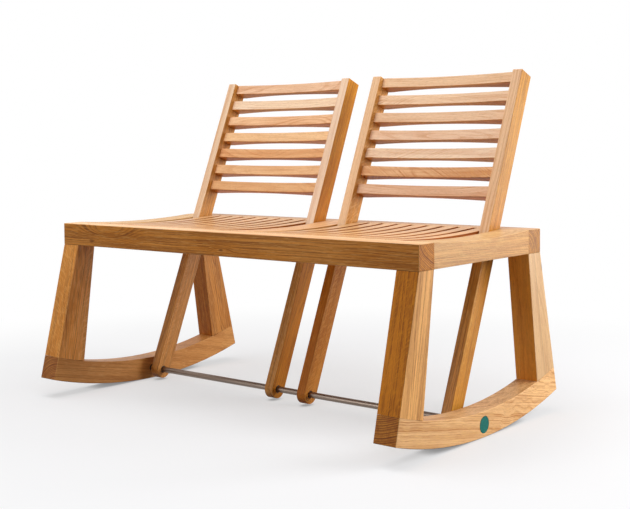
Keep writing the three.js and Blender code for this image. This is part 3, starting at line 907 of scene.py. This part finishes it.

# %% [markdown]
# ## The boards of the backrests
#
# A stile is a straight bar with a round lower end for the rod. Below the seat it takes a painted shade, a
# deeper tone where the seat shades it. The slats between the stiles were taken as they came: some are plain,
# and some are full of figure. They could be left to luck, but the eye compares them, so each one is chosen
# here.

# %% Choose the boards of the backrests
LEAN = math.radians(22.413)
UP_STILE = (0.0, math.sin(LEAN), math.cos(LEAN))
STILE_FRONT = (0.0, -math.cos(LEAN), math.sin(LEAN))
PLAIN_SLAT = {"figure": 0.6, "tone": (1.0, 1.0, 1.0)}
SLAT_BOARDS = {
    ("left", 1): {"tone": (0.98, 0.95, 1.0), "figure": 0.8, "lean": (120, 0)},
    ("left", 2): {"tone": (1.08, 1.22, 1.42), "figure": 0.4},
    ("left", 3): {"tone": (1.05, 0.98, 0.92), "figure": 0.9, "knots": ((140, -4, -12, 75, -16),)},
    ("left", 4): {"tone": (1.06, 1.02, 0.90), "figure": 0.35},
    ("left", 5): {"tone": (0.96, 0.79, 0.61), "figure": 0.7, "knots": ((120, 5, -9, 60, 13),)},
    ("left", 6): {"tone": (0.98, 0.90, 0.78), "figure": 0.5},
    ("left", 7): {"tone": (0.91, 0.79, 0.63)},
    ("right", 1): {},
    ("right", 2): {"tone": (1.05, 1.10, 1.18), "figure": 0.7, "knots": ((-70, 6, -10, 80, -14),)},
    ("right", 3): {"tone": (1.01, 1.01, 1.05), "figure": 0.35},
    ("right", 4): {"tone": (1.04, 1.08, 1.22), "figure": 0.8},
    ("right", 5): {"tone": (1.10, 1.25, 1.50), "figure": 0.8, "lean": (260, 60)},
    ("right", 6): {"tone": (0.97, 0.89, 0.79), "figure": 2.0, "lean": (-620, 40), "ring": 6.0,
                   "pith": (-20, -40)},
    ("right", 7): {"tone": (0.94, 0.93, 1.02), "figure": 0.8}}
PLAIN_STILE = {"left": {"figure": 0.5, "tone": (1.0, 1.10, 1.25)},
               "right": {"figure": 0.5, "tone": (1.0, 0.98, 0.95)}}
# below the seat the stiles take a painted shade, and their edge tones paint the light and shade of their
# narrow faces
STILE_BOARDS = {
    ("left", "left"): {"figure": 0.8, "shelter": (1.03, 0.90, 0.86)},
    ("left", "right"): {"tone": (1.02, 1.15, 1.42), "edge_tone": (0.86, 0.67, 0.12), "pith": (75, -20),
                        "calm": 0.9, "gloss": (0.10, 0.32), "shelter": (0.98, 0.90, 0.95)},
    ("right", "left"): {"edge_tone": (1.05, 1.20, 1.55), "gloss": (0.10, 0.32),
                        "shelter": (0.84, 0.62, 0.30)},
    ("right", "right"): {"figure": 0.8, "calm": 1.0, "edge_tone": (0.90, 0.92, 0.52)}}
print(len(SLAT_BOARDS), "back slats and", len(STILE_BOARDS), "stiles chosen")

# %% [markdown]
# ## Finishing the backrests
#
# The slats are hollowed on both faces, so their thin middles cut across more rings than their ends, and the
# figure bends with the hollow. A pasted picture could not do that, but rings worked out in space can. The
# slats meet the stiles in joints, so their ends stay crisp, while the stiles are eased all round.

# %% Finish the backrests
STILE_ROUND, BACK_SLAT_ROUND = 1.6, 1.3
BACK_SLATS = range(1, 8)

for half in SIDES:
    stiles = [f"{half}_back_{side}_stile" for side in SIDES]
    for side, stile in zip(SIDES, stiles):
        board(stile, UP_STILE, STILE_FRONT, **{**PLAIN_STILE[half], **STILE_BOARDS[half, side]})
        ease(stile, STILE_ROUND)
    for number in BACK_SLATS:
        slat = f"{half}_back_slat_{number}"
        board(slat, ALONG, STILE_FRONT, **{**PLAIN_SLAT, **SLAT_BOARDS[half, number]})
        ease(slat, BACK_SLAT_ROUND, stiles)
print("two backrests of", len(BACK_SLATS), "slats finished and eased")

# %% [markdown]
# ## Rod, bushes and disc
#
# The rod is drawn steel: its surface has fine lines along its length, so its gloss is streaky. The bushes are
# a dark moulded plastic with a dull, slightly grainy skin. The disc that closes the bore is green enamel.

# %% Make streaked and grainy finishes
STREAK_LIMITS, GLOSS_LIMITS = (0.35, 0.65), (0.3, 0.7)
STREAK_RELIEF = 0.3
PLAIN_IOR = 1.5


def grainy_finish(name, stretch, colours, gloss, depth, **settings):
    """Colour, roughness and bump from one stretched noise; `settings` are the shader's own."""
    material, net, shader = new_material(name)
    where = net.add("ShaderNodeTexCoord").outputs["Object"]
    streak = net.streaks(where, stretch, detail=4.0, roughness=0.6)
    bump = net.add("ShaderNodeBump", {"Height": streak, "Strength": STREAK_RELIEF, "Distance": depth * MM})
    net.feed(shader, {"Base Color": net.blend(net.step(streak, *STREAK_LIMITS), *colours),
                      "Roughness": net.step(streak, *GLOSS_LIMITS, *gloss), "Normal": bump.outputs[0],
                      "IOR": PLAIN_IOR, **settings})
    return material


steel = grainy_finish("drawn_steel", (6.0, 1100.0, 1100.0), (paint(150, 134, 122), paint(112, 98, 88)),
                      (0.28, 0.42), 0.05, Metallic=1.0)
plastic = grainy_finish("moulded_bush", (900.0, 900.0, 900.0), (paint(52, 44, 38), paint(38, 32, 28)),
                        (0.45, 0.6), 0.05)
enamel = grainy_finish("green_enamel", (160.0, 160.0, 160.0), (paint(6, 110, 98), paint(0, 94, 86)),
                       (0.30, 0.40), 0.03, **{"Specular IOR Level": 0.12})
print("three finishes made:", steel.name, plastic.name, enamel.name)

# %% [markdown]
# ## Fitting the small pieces
#
# The rod's ends are rounded by a millimetre, so that they slide into their bores. The disc and the bushes
# are smaller and are eased by less than half of that, in the same way as the boards.

# %% Finish the metal and plastic pieces
ROD_ROUND, DISC_ROUND, BUSH_ROUND = 1.0, 0.4, 0.3

bushes = [name for name in nodes if name.endswith("bush")]
for piece, material, width in (("pivot_rod", steel, ROD_ROUND), ("rod_end_disc", enamel, DISC_ROUND),
                               *((bush, plastic, BUSH_ROUND) for bush in bushes)):
    wear(piece, material)
    ease(piece, width)
print("rod, disc and", len(bushes), "bushes finished")

# %% [markdown]
# ## The paper floor
#
# The bench stands on white paper, which takes the light and the shadow of the bench. A part of its
# brightness is a glow that only the camera and reflections see, because full white paper would throw too
# much light back under the seat. Close to the rockers that glow is dimmed where the paper is closed in, a
# painted contact shadow where paper and wood nearly touch. Far from the bench the paper turns into plain
# white light, so that no horizon shows.

# %% Lay the floor
FLOOR_HALF = 30.0
NEAR, FAR = 0.7, 1.9
PAPER = 0.34
PAPER_BLUE = 1.03
PAPER_TINT = (PAPER, PAPER, PAPER * PAPER_BLUE, 1.0)
PAPER_GLOW = 0.545
CONTACT = 22 * MM
CLOSED, OPEN, CONTACT_GLOW = 0.15, 0.8, 0.45


def seen_directly(net):
    """One for camera, mirror and glass rays, nothing for the light that falls on things."""
    rays = net.add("ShaderNodeLightPath").outputs
    seen = net.sum("MAXIMUM", rays["Is Camera Ray"], rays["Is Glossy Ray"])
    return net.sum("MAXIMUM", seen, rays["Is Transmission Ray"])


def white_paper():
    material = bpy.data.materials.new("white_paper")
    material.use_nodes = True
    material.node_tree.nodes.clear()
    net = Net(material.node_tree)
    paper = net.add("ShaderNodeBsdfDiffuse", {"Color": PAPER_TINT}).outputs[0]
    seen = seen_directly(net)
    open_sky = net.add("ShaderNodeAmbientOcclusion", {"Distance": CONTACT}).outputs["AO"]
    # painted contact shadow: the glow is dimmed where the paper is closed in
    lit = net.times(seen, PAPER_GLOW, net.step(open_sky, CLOSED, OPEN, CONTACT_GLOW, 1.0))
    glow = net.add("ShaderNodeEmission", {"Strength": lit}).outputs[0]
    near = net.add("ShaderNodeAddShader", {0: paper, 1: glow}).outputs[0]
    white = net.add("ShaderNodeEmission", {"Strength": seen}).outputs[0]
    distance = net.vector("LENGTH", net.add("ShaderNodeTexCoord").outputs["Object"], result=1)
    mix = net.add("ShaderNodeMixShader", {0: net.step(distance, NEAR, FAR), 1: near, 2: white})
    net.add("ShaderNodeOutputMaterial", {"Surface": mix.outputs[0]})
    return material


mesh = bpy.data.meshes.new("studio_floor")
corners = [(x * FLOOR_HALF, y * FLOOR_HALF, 0) for x, y in ((-1, -1), (1, -1), (1, 1), (-1, 1))]
mesh.from_pydata(corners, [], [(0, 1, 2, 3)])
mesh.materials.append(white_paper())
floor = bpy.data.objects.new("studio_floor", mesh)
bpy.context.scene.collection.objects.link(floor)
print("the paper turns white between", NEAR, "and", FAR, "m from the middle")

# %% [markdown]
# ## Four softboxes in a white room
#
# A lamp behind a large white cloth gives soft shadows, where a bare one would cut hard ones. One softbox
# hangs above, one to the right, one low behind, and a weak one fills in from the front. The room's walls look
# white to the camera and in reflections, but their own light is dimmer, or the shadows would wash out.

# %% Light the room
AMBIENT = 0.30
AMBIENT_TINT = (1.0, 0.99, 0.97, 1.0)
WHITE = (1.0, 1.0, 1.0, 1.0)
SOFTBOXES = {  # place and aim, width and height in metres, power in watts
    "right_softbox": ((2.5, 1.3, 1.6), (0.3, 0.0, 0.35), 1.8, 1.8, 60),
    "rear_softbox": ((2.0, 1.8, 0.5), (0.4, 0.0, 0.3), 1.0, 0.9, 24),
    "top_softbox": ((-0.4, -0.5, 2.8), (0.0, 0.0, 0.3), 2.4, 2.2, 58),
    "front_fill": ((-1.4, -3.0, 1.0), (0.0, 0.0, 0.3), 1.4, 1.4, 19)}


def light_the_room():
    world = bpy.data.worlds.new("white_room")
    bpy.context.scene.world = world
    world.use_nodes = True
    world.node_tree.nodes.clear()
    net = Net(world.node_tree)
    dim = net.add("ShaderNodeBackground", {"Color": AMBIENT_TINT, "Strength": AMBIENT}).outputs[0]
    white = net.add("ShaderNodeBackground", {"Color": WHITE, "Strength": 1.0}).outputs[0]
    mix = net.add("ShaderNodeMixShader", {0: seen_directly(net), 1: dim, 2: white})
    net.add("ShaderNodeOutputWorld", {"Surface": mix.outputs[0]})


def softbox(name, place, aim, width, height, power):
    lamp = bpy.data.lights.new(name, "AREA")
    lamp.shape = "RECTANGLE"
    lamp.size, lamp.size_y = width, height
    lamp.energy = power
    holder = bpy.data.objects.new(name, lamp)
    holder.location = place
    holder.rotation_euler = (Vector(aim) - Vector(place)).to_track_quat("-Z", "Y").to_euler()
    bpy.context.scene.collection.objects.link(holder)


light_the_room()
for name, settings in SOFTBOXES.items():
    softbox(name, *settings)
print("the room is white, and", len(SOFTBOXES), "softboxes hang in it")

# %% [markdown]
